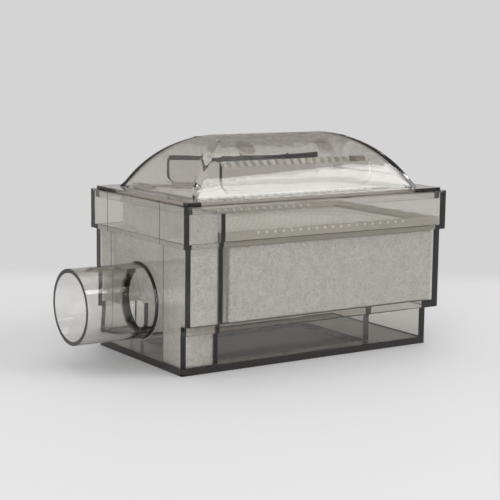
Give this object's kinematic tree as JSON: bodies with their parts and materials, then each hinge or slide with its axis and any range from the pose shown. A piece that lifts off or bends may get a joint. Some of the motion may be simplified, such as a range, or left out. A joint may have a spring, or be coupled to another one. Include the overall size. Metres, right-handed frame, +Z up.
{
  "type": "oxygen concentrator intake filter",
  "caption": "Smoke-clear filter box with a pillow-shaped lid, a round outlet tube and folded paper between felt strips; air enters by a socket in the floor.",
  "frame": {"origin": "centre of the whole footprint, tube included, on the surface that the filter stands on", "axes": "+X along the box away from the outlet tube, +Y from the felt-strip front to the back, +Z up"},
  "size_m": [0.1148, 0.0564, 0.0653],
  "materials": {
    "smoke_plastic": "clear, smoke tinted, moulded glossy",
    "filter_paper": "matt fibrous paper",
    "felt": "matt needled felt",
    "hot_melt": "cloudy, half gloss"
  },
  "bodies": {
    "root": {"housing": "smoke_plastic", "lid": "smoke_plastic", "pleated_media": "filter_paper", "front_side_strip": "felt", "rear_side_strip": "felt", "seal_bead": "hot_melt"}
  },
  "joints": []
}
